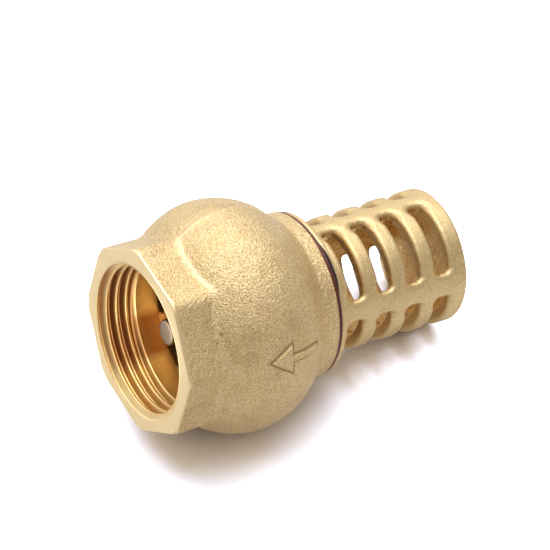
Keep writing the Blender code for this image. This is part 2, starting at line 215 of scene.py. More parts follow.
def ring_object(name, psi, rows, mats, mat_index=None):
    """A ring-shaped piece: each row is (radius, depth), a number or one value per angle."""
    ni, nj = len(rows), len(psi)
    verts = np.empty((ni, nj, 3))
    for i, (radius, depth) in enumerate(rows):
        verts[i, :, 0] = radius * np.cos(psi)
        verts[i, :, 1] = radius * np.sin(psi)
        verts[i, :, 2] = LENGTH - depth
    i, j = np.meshgrid(np.arange(ni), np.arange(nj), indexing="ij")
    i2, j2 = (i + 1) % ni, (j + 1) % nj
    quads = np.stack([i * nj + j, i * nj + j2, i2 * nj + j2, i2 * nj + j], -1).reshape(-1, 4)
    return quad_object(name, verts.reshape(-1, 3), quads, mats, mat_index)


def revolve(name, profile, segments, mat):
    return ring_object(name, angles(segments), profile, [mat])


def turned_solid(name, rows, segments, mat, cut):
    """A solid turned piece from rows of (r, s), closed on the axis; cut adds to the radius."""
    psi = angles(segments)
    verts = []
    for r, s in rows:
        radius = r + cut(psi, r, s)
        verts.append(np.stack([radius * np.cos(psi), radius * np.sin(psi),
                               np.full(segments, LENGTH - s)], 1))
    verts.append([[0, 0, LENGTH - rows[0][1]], [0, 0, LENGTH - rows[-1][1]]])
    last = (len(rows) - 1) * segments
    first_pole = last + segments
    faces = []
    for i in range(0, last, segments):
        for j in range(segments):
            j2 = (j + 1) % segments
            faces.append((i + j, i + segments + j, i + segments + j2, i + j2))
    for j in range(segments):
        j2 = (j + 1) % segments
        faces.append((first_pole, j, j2))
        faces.append((first_pole + 1, last + j2, last + j))
    return new_object(name, np.concatenate(verts), faces, [mat])


def net_points(F, active, lo, h):
    """One point in each active cell: the mean of the surface's crossings of the cell's edges."""
    i, j, k = np.nonzero(active)
    place = np.zeros((len(i), 3))
    count = np.zeros(len(i))
    for axis in range(3):
        o1, o2 = [x for x in range(3) if x != axis]
        for p in (0, 1):
            for q in (0, 1):
                a = [0, 0, 0]
                a[o1], a[o2] = p, q
                b = list(a)
                b[axis] = 1
                fa = F[i + a[0], j + a[1], k + a[2]]
                fb = F[i + b[0], j + b[1], k + b[2]]
                crossed = (fa < 0) != (fb < 0)
                t = np.where(crossed, fa / np.where(fa == fb, 1, fa - fb), 0)
                place[crossed] += np.array(a)
                place[crossed, axis] += t[crossed]
                count += crossed
    return np.array(lo) + h * (np.stack([i, j, k], 1) + place / count[:, None])


def net_quads(inside, active):
    """One quad round each grid edge that crosses the surface."""
    index = np.full(active.shape, -1, np.int64)
    index[active] = np.arange(active.sum())
    shape = inside.shape
    quads = []
    for axis in range(3):
        o1, o2 = (axis + 1) % 3, (axis + 2) % 3
        low = [slice(None)] * 3
        low[axis] = slice(0, shape[axis] - 1)
        high = list(low)
        high[axis] = slice(1, shape[axis])
        edges = np.stack(np.nonzero(inside[tuple(low)] != inside[tuple(high)]), 1)
        edges = edges[(edges[:, o1] > 0) & (edges[:, o2] > 0)
                      & (edges[:, o1] < shape[o1] - 1) & (edges[:, o2] < shape[o2] - 1)]
        leaving = inside[edges[:, 0], edges[:, 1], edges[:, 2]]
        corners = []
        for d1, d2 in ((-1, -1), (0, -1), (0, 0), (-1, 0)):
            cell = edges.copy()
            cell[:, o1] += d1
            cell[:, o2] += d2
            corners.append(index[cell[:, 0], cell[:, 1], cell[:, 2]])
        corners = np.stack(corners, 1)
        corners[~leaving] = corners[~leaving][:, ::-1]
        quads.append(corners)
    return np.concatenate(quads)


def settle(points, sdf, h, passes=4, probe=0.02):
    """Moves points along the field's slope onto the surface itself."""
    for _ in range(passes):
        x, y, z = points.T
        dist = sdf(x, y, z)
        slope = []
        for axis in range(3):
            dx, dy, dz = (probe * (axis == a) for a in range(3))
            slope.append((sdf(x + dx, y + dy, z + dz) - sdf(x - dx, y - dy, z - dz)) / (2 * probe))
        slope = np.stack(slope, 1)
        step = dist[:, None] * slope / np.maximum((slope * slope).sum(1), 0.2)[:, None]
        size = np.linalg.norm(step, axis=1)
        step *= np.minimum(1, 0.5 * h / np.maximum(size, 1e-9))[:, None]
        points = points - step
    return points


def surface_nets(name, sdf, lo, hi, h, mats, pick=None):
    """A closed quad mesh of sdf < 0 on a grid of spacing h; pick chooses each face's material."""
    grid_x, grid_y, grid_z = (np.arange(lo[i], hi[i] + h, h) for i in range(3))
    nx, ny, nz = len(grid_x), len(grid_y), len(grid_z)
    F = np.empty((nx, ny, nz), np.float32)
    gx, gy = np.meshgrid(grid_x, grid_y, indexing="ij")
    slab = 24                                            # layers at a time, to save memory
    for k in range(0, nz, slab):
        F[:, :, k:k + slab] = sdf(gx[:, :, None], gy[:, :, None], grid_z[None, None, k:k + slab])
    inside = F < 0
    total = np.zeros((nx - 1, ny - 1, nz - 1), np.int8)
    for a in (0, 1):
        for b in (0, 1):
            for c in (0, 1):
                total += inside[a:nx - 1 + a, b:ny - 1 + b, c:nz - 1 + c]
    active = (total > 0) & (total < 8)
    quads = net_quads(inside, active)
    verts = settle(net_points(F, active, lo, h), sdf, h)
    mat_index = None
    if pick is not None:
        mat_index = pick(*verts[quads].mean(1).T)
    return quad_object(name, verts, quads, mats, mat_index)


def register(ob, body, node):
    """Tells the frame what the piece moves with, which CAD piece it replaces."""
    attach(ob, body)
    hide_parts(node)


# ------------------------------------------------------------------------------ shader helpers
def add_node(tree, kind, inputs=None, **settings):
    """A shader node with its settings made, then its inputs linked or given a value."""
    node = tree.nodes.new("ShaderNode" + kind)
    for key, value in settings.items():
        setattr(node, key, value)
    for key, value in (inputs or {}).items():
        connect(tree, node.inputs[key], value)
    return node


def connect(tree, socket, value):
    if isinstance(value, bpy.types.NodeSocket):
        tree.links.new(value, socket)
    else:
        socket.default_value = value


def rgba(value):
    return (*value, 1) if isinstance(value, tuple) else value


class Material:
    """A Principled material in the making; its coordinates are object space in millimetres."""

    def __init__(self, name):
        self.mat = bpy.data.materials.new(name)
        self.mat.use_nodes = True
        self.tree = self.mat.node_tree
        self.bsdf = self.tree.nodes["Principled BSDF"]
        coord = self.node("TexCoord")
        self.co = self.node("VectorMath", {0: coord.outputs["Object"], "Scale": 1000.0},
                            operation="SCALE").outputs[0]

    def node(self, kind, inputs=None, **settings):
        return add_node(self.tree, kind, inputs, **settings)

    def noise(self, scale, detail, rough, co=None):
        return self.node("TexNoise", {"Scale": scale, "Detail": detail, "Roughness": rough,
                                      "Vector": co or self.co}).outputs["Fac"]

    def ramp(self, fac, stops):
        """Colour ramp; stops are (position, grey or colour)."""
        node = self.node("ValToRGB", {"Fac": fac})
        elements = node.color_ramp.elements
        while len(elements) < len(stops):
            elements.new(0.5)
        for element, (position, tone) in zip(elements, stops):
            element.position = position
            element.color = rgba(tone if isinstance(tone, tuple) else (tone, tone, tone))
        return node.outputs["Color"]

    def mix(self, fac, a, b):
        return self.node("Mix", {0: fac, 6: rgba(a), 7: rgba(b)}, data_type="RGBA").outputs[2]

    def attribute(self, name):
        return self.node("Attribute", attribute_name=name).outputs["Fac"]

    def math(self, operation, *values):
        return self.node("Math", dict(enumerate(values)), operation=operation).outputs[0]

    def add(self, a, b):
        return self.math("ADD", a, b)

    def mul(self, a, b):
        return self.math("MULTIPLY", a, b)

    def split(self):
        return self.node("SeparateXYZ", {0: self.co}).outputs

    def bump(self, height, strength, depth, normal=None):
        """Bump of a depth in mm."""
        inputs = {"Strength": strength, "Distance": depth * MM, "Height": height}
        if normal is not None:
            inputs["Normal"] = normal
        return self.node("Bump", inputs).outputs["Normal"]

    def finish(self, colour, rough, normal, metallic=0.0):
        for key, value in (("Base Color", colour), ("Metallic", metallic),
                           ("Roughness", rough), ("Normal", normal)):
            connect(self.tree, self.bsdf.inputs[key], value)
        return self.mat


# ------------------------------------------------------------------------------ materials
DIRT_AND_SHADE_BROWN = (0.30, 0.18, 0.08)         # dark brown of dirt and painted shade, where that attribute is 1
PAINTED_HIGHLIGHT_BRASS = (1.0, 0.82, 0.50)        # painted highlight, where that attribute is 1


def cast_brass(name, light, mid, dark, stain, grain=2.8, depth=0.24, rough=(0.32, 0.46),
               blotch=0.5, speck=0.62, marks=()):
    """Sand-cast brass: gritty grain over softer lumps, drifting colour, faint brown stains, painted
    shade in the grit's pits and painted glints on its tops.

    blotch is the strength of the stains, speck that of the painted shade in the pits, rough its two
    limits.
    """
    m = Material(name)
    grit = m.noise(scale=grain, detail=2.0, rough=0.6)
    fine_grit = m.noise(scale=grain * 2.1, detail=1.0, rough=0.5)
    soft = m.noise(scale=grain * 0.36, detail=2.0, rough=0.55)
    drift = m.noise(scale=0.16, detail=3.0, rough=0.55)
    stretched = m.node("VectorMath", {0: m.co, 1: (1.0, 1.3, 0.8)}, operation="MULTIPLY").outputs[0]
    patch = m.noise(scale=0.21, detail=2.0, rough=0.5, co=stretched)
    height = m.add(m.add(m.mul(grit, 1.0), m.mul(fine_grit, 0.35)), m.mul(soft, 0.7))
    painted_glint_colour = tuple(min(1.0, c * 1.26) for c in light)

    base = m.ramp(drift, [(0.30, mid), (0.52, light), (0.74, mid)])
    base = m.mix(m.ramp(patch, [(0.54, 0.0), (0.68, blotch)]), base, stain)
    # painted shade: darker specks in the pits of the grit and of the finer grit
    base = m.mix(m.ramp(grit, [(0.36, speck), (0.52, 0.0)]), base, dark)
    base = m.mix(m.ramp(fine_grit, [(0.30, speck * 0.5), (0.45, 0.0)]), base, dark)
    # painted glints: lighter specks on the tops of the grit
    base = m.mix(m.ramp(grit, [(0.52, 0.0), (0.66, 0.5)]), base, painted_glint_colour)
    if marks:
        # dirt with painted shade, then painted highlight, both from the mesh's attributes
        base = m.mix(m.attribute("dirt_and_painted_shade"), base, DIRT_AND_SHADE_BROWN)
        base = m.mix(m.attribute("painted_highlight"), base, PAINTED_HIGHLIGHT_BRASS)
    for centre, size, colour, amount in marks:
        away = m.node("VectorMath", {0: m.co, 1: centre}, operation="DISTANCE").outputs["Value"]
        near = m.add(m.math("DIVIDE", away, size), m.mul(soft, 0.8))
        base = m.mix(m.ramp(near, [(0.70, amount), (1.35, 0.0)]), base, colour)
    in_grit = m.ramp(grit, [(0.25, 1.0), (0.75, 0.0)])
    return m.finish(base, rough=m.add(rough[0], m.mul(in_grit, rough[1] - rough[0])),
                    normal=m.bump(height, strength=1.0, depth=depth), metallic=1.0)


def machined_brass(name, colour, dark, rough, ring, depth=0.004, streak=0.2, painted_shade_colour=None):
    """Turned brass: fine tool marks that follow radius and depth, light tarnish in soft clouds, and
    painted shade and reflection where the mesh's attribute says.

    ring is the tool marks' noise scale, depth their height in mm and streak their darkness.
    """
    m = Material(name)
    x, y, z = m.split()
    radius = m.math("SQRT", m.add(m.mul(x, x), m.mul(y, y)))
    round_axis = m.node("CombineXYZ", {0: radius, 1: z}).outputs[0]
    tool = m.noise(scale=ring, detail=3.0, rough=0.65, co=round_axis)
    cloud = m.noise(scale=0.28, detail=3.0, rough=0.6)
    fine = m.noise(scale=3.2, detail=2.0, rough=0.6)
    base = m.mix(m.ramp(cloud, [(0.35, 0.0), (0.7, streak * 2)]), colour, dark)
    base = m.mix(m.ramp(tool, [(0.3, streak), (0.55, 0.0)]), base, dark)
    # painted shade and painted reflection, where the mesh's attribute says
    if painted_shade_colour:
        base = m.mix(m.attribute("dirt_and_painted_shade"), base, painted_shade_colour)
    normal = m.bump(tool, strength=0.8, depth=depth)
    normal = m.bump(fine, strength=0.35, depth=depth * 1.5, normal=normal)
    return m.finish(base, rough=m.add(rough - 0.05, m.mul(fine, 0.12)), normal=normal,
                    metallic=1.0)


def plain(name, colour, second, rough, scale, depth, metallic=0.0):
    """Moulded or drawn material: soft colour variation, fine texture and uneven gloss."""
    m = Material(name)
    cloud = m.noise(scale=scale, detail=3.0, rough=0.6)
    texture = m.noise(scale=scale * 5.0, detail=2.0, rough=0.5)
    return m.finish(m.mix(m.ramp(cloud, [(0.35, 0.0), (0.7, 0.6)]), colour, second),
                    rough=m.add(rough - 0.06, m.mul(cloud, 0.12)),
                    normal=m.bump(texture, strength=0.6, depth=depth), metallic=metallic)


def ring_material(name):
    """Dark red vulcanised fibre, painted black as shade on its flange side and on the lobe that
    hangs over the flange.
    """
    painted_shade_s = 37.50                      # deeper than this is painted black as shade
    m = Material(name)
    cloud = m.noise(scale=1.6, detail=3.0, rough=0.6)
    base = m.mix(m.ramp(cloud, [(0.35, 0.0), (0.65, 0.7)]),
                 (0.23, 0.040, 0.022), (0.10, 0.022, 0.014))
    # painted shade: black on the flange side of the ring
    base = m.mix(m.math("GREATER_THAN", LENGTH - painted_shade_s, m.split()[2]), base,
                 (0.012, 0.009, 0.007))
    return m.finish(base, rough=m.add(0.22, m.mul(cloud, 0.2)),
                    normal=m.bump(cloud, strength=0.7, depth=0.03))


# Stains on the body: centre (mm), size (mm), colour, strength
BODY_MARKS = [
    ((17.27, -15.55, 44.75), 0.34, (0.16, 0.09, 0.04), 0.85),
    ((0.0, -19.36, 61.25), 0.9, (0.42, 0.20, 0.10), 0.75),
    ((-1.6, -19.0, 62.3), 0.6, (0.42, 0.20, 0.10), 0.65),
    ((3.0, -22.0, 53.0), 5.5, (0.70, 0.42, 0.24), 0.45),
    ((12.4, -20.2, 49.5), 0.30, (0.30, 0.17, 0.08), 0.7),
]

BODY_CAST = cast_brass(
    "body_cast_brass", light=(0.83, 0.605, 0.315), mid=(0.77, 0.54, 0.265),
    dark=(0.48, 0.315, 0.135), stain=(0.66, 0.40, 0.20), marks=BODY_MARKS)
BODY_FACE = machined_brass(
    "body_machined_face", colour=(1.0, 0.76, 0.415), dark=(0.90, 0.64, 0.32), rough=0.32, ring=5.0)
# the red-brown given last is painted reflection and shade on one side of the bore
BODY_BORE = machined_brass(
    "body_thread_and_bore", colour=(0.88, 0.64, 0.30), dark=(0.72, 0.45, 0.18), rough=0.36,
    ring=7.0, streak=0.25, depth=0.003, painted_shade_colour=(0.37, 0.155, 0.055))
BODY_CORE = cast_brass(
    "body_core_cast", light=(0.74, 0.50, 0.23), mid=(0.66, 0.43, 0.18), dark=(0.40, 0.24, 0.09),
    stain=(0.50, 0.28, 0.12), grain=1.8, depth=0.12)
STRAINER_CAST = cast_brass(
    "strainer_cast_brass", light=(0.77, 0.565, 0.285), mid=(0.73, 0.51, 0.245),
    dark=(0.56, 0.37, 0.16), stain=(0.66, 0.42, 0.21), grain=3.0, depth=0.09,
    rough=(0.34, 0.50), blotch=0.3, speck=0.35)
# the strainer's cored inside: its own grain, and a lighter colour than the outside as painted light
# for light bouncing round inside
STRAINER_CORE_LIGHTENED = cast_brass(
    "strainer_core_cast_painted_light", light=(0.86, 0.62, 0.30), mid=(0.80, 0.54, 0.24),
    dark=(0.56, 0.34, 0.13), stain=(0.66, 0.40, 0.17), grain=1.8, depth=0.05,
    rough=(0.28, 0.42))
# ground steel painted dark brown: painted shade and a painted reflection of the brass round the
# stem
STEEL_IN_PAINTED_SHADE = plain(
    "stem_ground_steel_painted_shade", colour=(0.20, 0.145, 0.105), second=(0.155, 0.11, 0.08), rough=0.36,
    metallic=1.0, scale=1.5, depth=0.004)
SPRING_STEEL = plain(
    "spring_drawn_steel", colour=(0.62, 0.60, 0.57), second=(0.50, 0.48, 0.45), rough=0.26,
    metallic=1.0, scale=2.0, depth=0.005)
NYLON = plain(
    "poppet_black_nylon", colour=(0.018, 0.017, 0.018), second=(0.030, 0.028, 0.027),
    rough=0.42, scale=1.4, depth=0.012)
RUBBER = plain(
    "seal_black_rubber", colour=(0.014, 0.014, 0.015), second=(0.024, 0.023, 0.022),
    rough=0.68, scale=2.0, depth=0.010)
PTFE = plain(
    "bush_ptfe", colour=(0.74, 0.71, 0.64), second=(0.66, 0.62, 0.54), rough=0.42, scale=1.5,
    depth=0.006)
TURNED = machined_brass(
    "turned_brass", colour=(0.84, 0.62, 0.29), dark=(0.62, 0.42, 0.16), rough=0.22, ring=9.0)
RED_FIBRE = ring_material("joint_red_fibre")

# ------------------------------------------------------------------------------ valve body
CORNER_R = np.array([1.5, 1.7, 2.0, 1.8, 1.6, 1.5, 3.2, 1.8])   # corner k is at 22.5 + 45 k degrees
MINOR, MAJOR, PITCH = 15.15, 16.62, 2.309        # outlet thread: radii and pitch
THREAD_PHASE, THREAD_END = 0.182, 8.3
SOCKET = 13.5                                    # depth of the plain bore below the thread
MOUTH_R = 16.45                                  # where the lead-in cone meets the end face
EDGE = 0.26                                      # broken edge of the outlet face
EDGE_S = 0.25                                    # its depth
CORE_TOP_R = 19.35                               # radius of the hollow at CORE_TOP
COLLAR_BORE = 15.0
COLLAR_EDGE = 0.3                                # rounding of the collar's end
CAST, FACE, BORE, CORE = range(4)                # material slots

ARROW_PSI = math.radians(-110.0)                 # middle of the raised flow arrow
ARROW_TIP, ARROW_TAIL = 16.8, 28.4               # depths of its ends
ARROW_R = 23.6                                   # radius that turns its angles into widths
SHAFT_HALF, SHAFT_START = 0.62, 3.0              # half width, and start behind the tip
HEAD_HALF, HEAD_LENGTH = 2.9, 4.6
ARROW_HEIGHT, ARROW_FLANK = 0.55, 0.42

FLASH_DEG = -23.7                                # one of the two mould parting lines

body_lumps = Waves(shortest=3.0, longest=14.0, count=40, seed=3)
body_ripples = Waves(shortest=1.1, longest=2.6, count=40, seed=5)


def octagon_radius(psi):
    """Radius of the octagon, each corner rounded to its own radius."""
    corner_r = CORNER_R[np.floor(psi / (np.pi / 4)).astype(int) % 8]
    half = np.pi / 8
    off = np.abs(fold(psi - half, np.pi / 4))                # angle from the nearest corner
    centre = (HALF_FLATS - corner_r) / np.cos(half)
    tangent = np.arctan2(corner_r * np.sin(half), centre + corner_r * np.cos(half))
    flat = HALF_FLATS / np.cos(half - off)
    arc = centre * np.cos(off) + np.sqrt(np.maximum(corner_r**2 - (centre * np.sin(off)) ** 2, 0))
    return np.where(off < tangent, arc, flat)


def bulb_radius(s, shrink=0.0):
    arc = BULB_ARC_R - shrink
    return BULB_CENTRE_R + np.sqrt(np.maximum(arc**2 - (s - BULB_S) ** 2, 0.0))


def prism_radius(psi, s):
    """The octagon, tapering off quickly below a depth of 12."""
    return octagon_radius(psi) - np.maximum(s - 12.0, 0) * 3.0


def arrow_edge(psi, s):
    """Signed distance to the outline of an arrow that points to the outlet."""
    u = fold(psi - ARROW_PSI, 2 * np.pi) * ARROW_R
    shaft = np.maximum(np.abs(u) - SHAFT_HALF,
                       np.maximum(ARROW_TIP + SHAFT_START - s, s - ARROW_TAIL))
    slope = math.atan2(HEAD_HALF, HEAD_LENGTH)
    head = np.maximum(np.abs(u) * math.cos(slope) - (s - ARROW_TIP) * math.sin(slope),
                      s - ARROW_TIP - HEAD_LENGTH)
    return np.minimum(shaft, head)


def parting_line(psi, s):
    """Height of the flash where the mould's halves met, near two opposite octagon corners."""
    out = 0.0
    for at in (FLASH_DEG, FLASH_DEG + 180):
        d = fold(psi - math.radians(at), 2 * np.pi) * 23.0
        out = (out + 0.20 * np.exp(-((d / 0.42) ** 2)) + 0.10 * clamp01(1 + d / 2.5) * (d < 0)
               + 0.10 * clamp01(1 - d / 0.6) * (d >= 0))
    return out * clamp01((s - 9.0) / 1.2) * clamp01((27.0 - s) / 9.0)


def seam_line(psi, s):
    """1 along the line where the octagon runs into the bulb."""
    gap = prism_radius(psi, s) - bulb_radius(s)
    return np.exp(-(((gap - 0.15) / 0.50) ** 2)) * (s > 6.0) * (s < 12.5)


def outer_radius(psi, s):
    """The outside without its casting marks, at one depth."""
    if s < 6.0:
        r = octagon_radius(psi)
    else:
        r = smax(prism_radius(psi, s), bulb_radius(s), 0.55)
        r = r + 0.24 * seam_line(psi, s)                 # metal washed up along the seam
    if s > 24.0:
        collar = COLLAR_R - np.maximum(33.0 - s, 0) * 2.0
        r = smax(r, collar, 1.5)
    # a nut-style turned chamfer that only reaches the octagon's corners
    return smin(r, 19.45 + s * 1.6, 0.12)


def outer_row(psi, s):
    """Radius, dirt with painted shade, and painted highlight of the cast outside at one depth."""
    r = outer_radius(psi, s)
    if s <= 0.9:
        return r, 0.0, 0.0
    x, y, z = r * np.cos(psi), r * np.sin(psi), LENGTH - s
    fade = clamp01((s - 0.9) / 2.0) * clamp01((COLLAR_END - COLLAR_EDGE - s) / 1.5)
    r = r + fade * (0.055 * body_lumps(x, y, z) + 0.016 * body_ripples(x, y, z))
    r = r + parting_line(psi, s)
    # painted highlight: lighter along the seam, most on its lit side, and along one parting line's
    # flash
    degrees = fold(np.degrees(psi), 360)
    lit = clamp01((degrees + 72) / 12) * clamp01((-21.5 - degrees) / 3)
    ridge = (np.exp(-((((degrees - FLASH_DEG) * 0.40) / 0.50) ** 2))
             * clamp01((s - 9.3) / 1.2) * clamp01((19.5 - s) / 6))
    painted_highlight = np.maximum(seam_line(psi, s) * (0.10 + 0.62 * lit), 0.55 * ridge)
    dirt_and_painted_shade = 0.0
    if ARROW_TIP - 2 < s < ARROW_TAIL + 2:
        edge = arrow_edge(psi, s)
        r = r + ARROW_HEIGHT * (1 - smoothstep(clamp01(edge / ARROW_FLANK + 0.5)))
        # a dark line just outside the arrow's edge: dirt, and painted shade at the foot of the
        # relief
        dirt_and_painted_shade = 0.85 * np.exp(-(((edge - 0.22) / 0.26) ** 2))
    return r, dirt_and_painted_shade, painted_highlight


def bore_row(psi, s):
    """Radius and painted shade of the threaded bore at one depth."""
    turns = s / PITCH + (psi - math.radians(45)) / (2 * np.pi) + THREAD_PHASE
    phase = turns % 1.0
    form = (1 - 4 * np.abs(phase - 0.5)) * 1.109         # a triangle wave, its tips cut off
    form = smin(smax(form, -0.74, 0.24), 0.74, 0.24)
    # each groove runs out along its own helix, where the tap stopped
    groove_s = s + (0.5 - phase) * PITCH
    run = clamp01((THREAD_END - groove_s) / 1.5)
    r = MINOR + ((MINOR + MAJOR) / 2 + form - MINOR) * smoothstep(run)
    # the lead-in: a short cone that trims the first crest
    r = smax(r, MOUTH_R - np.maximum(s - 0.05, 0) * 2.0, 0.15)
    # painted reflection of the dark parts within, red-brown on one side of the bore, and painted
    # shade in the grooves on that side
    degrees = (np.degrees(psi) + 360) % 360
    patch = (clamp01((degrees - 77) / 7) * clamp01((119 - degrees) / 8)
             * (0.72 * clamp01((s - 1.2) / 1.5) + 0.28 * clamp01((s - 7.0) / 3.0)))
    groove = (clamp01((degrees - 15) / 20) * clamp01((124 - degrees) / 16)
              * clamp01((r - 15.25) / 0.5) * clamp01((s - 0.5) / 0.25))
    return r, np.maximum(0.92 * patch, 0.85 * groove)


def core_radius(psi, s):
    """The rough hollow inside the bulb."""
    r = np.maximum(bulb_radius(s, WALL), COLLAR_BORE)
    return r + 0.06 * body_lumps(r * np.cos(psi) + 30, r * np.sin(psi), LENGTH - s)


def body_angles(count=500):
    """Angles round the body, denser at the octagon's corners and the arrow."""
    fine = np.linspace(0, 2 * np.pi, 20001)
    middle = (fine[1:] + fine[:-1]) / 2
    corner = np.abs(fold(middle - np.pi / 8, np.pi / 4))
    arrow = fold(middle - ARROW_PSI, 2 * np.pi)
    density = 1.0 + 1.1 * np.exp(-((corner / 0.05) ** 2)) + 2.6 * np.exp(-((arrow / 0.17) ** 4))
    share = np.concatenate([[0], np.cumsum(density)])
    share /= share[-1]
    return np.interp(np.arange(count) / count, share, fine)


def build_casting():
    """The body: down the outside, round the collar, up the inside and out over the face."""
    psi = body_angles()
    rows, slots, dirt_and_painted_shade_rows, painted_highlight_rows = [], [], [], []

    def add(radius, depth, slot, dirt_and_painted_shade=0.0, painted_highlight=0.0):
        rows.append((radius, depth))
        slots.append(slot)
        dirt_and_painted_shade_rows.append(np.broadcast_to(dirt_and_painted_shade, psi.shape))
        painted_highlight_rows.append(np.broadcast_to(painted_highlight, psi.shape))

    for t in np.linspace(0, 1, 5):
        turn = t * math.pi / 2
        add(outer_radius(psi, EDGE_S) - EDGE * (1 - math.sin(turn)),
            EDGE_S * (1 - math.cos(turn)), FACE)
    outer_depths = np.concatenate([
        np.linspace(0.5, 7.0, 12), np.linspace(7.2, 12.0, 33), np.linspace(12.25, 16.0, 12),
        np.linspace(16.2, 29.6, 68), np.linspace(29.9, COLLAR_END - COLLAR_EDGE, 28)])
    for s in outer_depths:
        radius, dirt_and_painted_shade, painted_highlight = outer_row(psi, s)
        add(radius, s, CAST, dirt_and_painted_shade, painted_highlight)
    for t in np.linspace(0, 1, 4):
        turn = t * math.pi / 2
        add(COLLAR_R - COLLAR_EDGE * (1 - math.cos(turn)),
            COLLAR_END - COLLAR_EDGE + COLLAR_EDGE * math.sin(turn), CAST)
    for radius in np.linspace(COLLAR_R - 0.35, COLLAR_BORE, 8):
        add(radius, COLLAR_END, CORE)
    for s in np.linspace(COLLAR_END - 0.3, 31.8, 12):
        add(COLLAR_BORE, s, CORE)
    for s in np.linspace(31.3, CORE_TOP, 44):
        add(core_radius(psi, s), s, CORE)
    for t in np.linspace(0, 1, 6)[1:]:
        add(CORE_TOP_R + (MINOR + 0.05 - CORE_TOP_R) * t,
            CORE_TOP + (SOCKET + 0.25 - CORE_TOP) * t, CORE)
    bore_depths = np.concatenate([np.linspace(SOCKET + 0.1, 9.9, 10), np.arange(9.8, 0.5, -0.115),
                                  np.linspace(0.42, 0.06, 4)])
    for s in bore_depths:
        radius, dirt_and_painted_shade = bore_row(psi, s)
        add(radius, s, FACE if s < 0.4 else BORE, dirt_and_painted_shade)
    mouth = np.maximum(MOUTH_R, radius)
    rim = outer_radius(psi, 0.0) - 0.03
    for t in np.linspace(0, 1, 12):
        add(mouth + (rim - EDGE - mouth) * t, 0.0, FACE)

    ob = ring_object("body_casting", psi, rows, [BODY_CAST, BODY_FACE, BODY_BORE, BODY_CORE],
                     np.repeat(slots, len(psi)))
    # vertex masks: dirt with painted shade, and painted highlight
    for name, values in (("dirt_and_painted_shade", dirt_and_painted_shade_rows), ("painted_highlight", painted_highlight_rows)):
        layer = ob.data.attributes.new(name, "FLOAT", "POINT")
        layer.data.foreach_set("value", np.array(values, np.float32).ravel())
    register(ob, "casing", "valve_body")


# The bridge: a bar across the hollow that carries a boss for the guide bush
BRIDGE_PSI = math.radians(95.0)
BAR_HALF_WIDTH, BAR_HALF_HEIGHT, BAR_ROUND = 3.3, 1.7, 1.15
BAR_S, BAR_REACH = 15.6, 22.0
BOSS_R, BOSS_S, BOSS_HALF = 5.4, 17.05, 3.15
BOSS_BORE = 3.95


def bridge_sdf(x, y, z):
    s = LENGTH - z
    r = np.sqrt(x * x + y * y)
    along = x * math.cos(BRIDGE_PSI) + y * math.sin(BRIDGE_PSI)
    across = -x * math.sin(BRIDGE_PSI) + y * math.cos(BRIDGE_PSI)
    bar = round_rectangle(across, s - BAR_S, BAR_HALF_WIDTH, BAR_HALF_HEIGHT, BAR_ROUND)
    bar = np.maximum(bar, np.abs(along) - BAR_REACH)
    boss = cut_round(r - BOSS_R, np.abs(s - BOSS_S) - BOSS_HALF, 0.7)
    d = join_round(bar, boss, 1.4)
    wall_r = np.where(s < CORE_TOP, 15.2 + np.clip((s - 13.6) / 2.2, -1, 1) * 4.2,
                      bulb_radius(s, WALL))
    d = join_round(d, (wall_r + 0.12 - r) * 0.75, 1.6)
    d = np.maximum(d, r - wall_r - 0.9)                  # the root stays inside the body's wall
    d = np.maximum(d, np.abs(across) - 5.2)
    d = np.maximum(d, np.maximum(13.75 - s, s - 21.5))
    return np.maximum(d, BOSS_BORE - r)


def build_bridge():
    ob = surface_nets("body_bridge", bridge_sdf, lo=(-23, -23, 48), hi=(23, 23, 57), h=0.30,
                      mats=[BODY_CORE])
    register(ob, "casing", "valve_body")


# ------------------------------------------------------------------------------ strainer
SLOT_S, SLOT_PITCH, LAST_SLOT = 43.8, 6.95, 3    # first slot's depth, spacing, last one's number
SLOT_HEIGHT, SLOT_HALF_WIDTH, SLOT_ROUND = 3.3, 7.15, 1.1
COLUMN_PSI = math.radians(22.5)                  # middle of the first of four columns of slots
COLUMN_SHIFT = np.array([-0.033, 0.0, 0.0, 0.025])   # the cores never sat quite evenly
TUBE_R, TAPER_S, TAPER_LENGTH, TAPER = 13.85, 41, 29, 0.0125
FLANGE_R, FLANGE_S, FLANGE_HALF = 17.12, 38.15, 0.62
FLANGE_FACE = 37.56
NECK_R, NECK_S, NECK_HALF, NECK_PITCH = 14.55, 35.6, 2.5, 1.5
LIP_R, LIP_START, LIP_END = 11.7, 32.5, 36.0
STRAINER_BORE = 10.5
FLOOR_THICKNESS = 2.5                            # of the strainer's closed end

strainer_lumps = Waves(shortest=2.5, longest=11.0, count=36, seed=11)


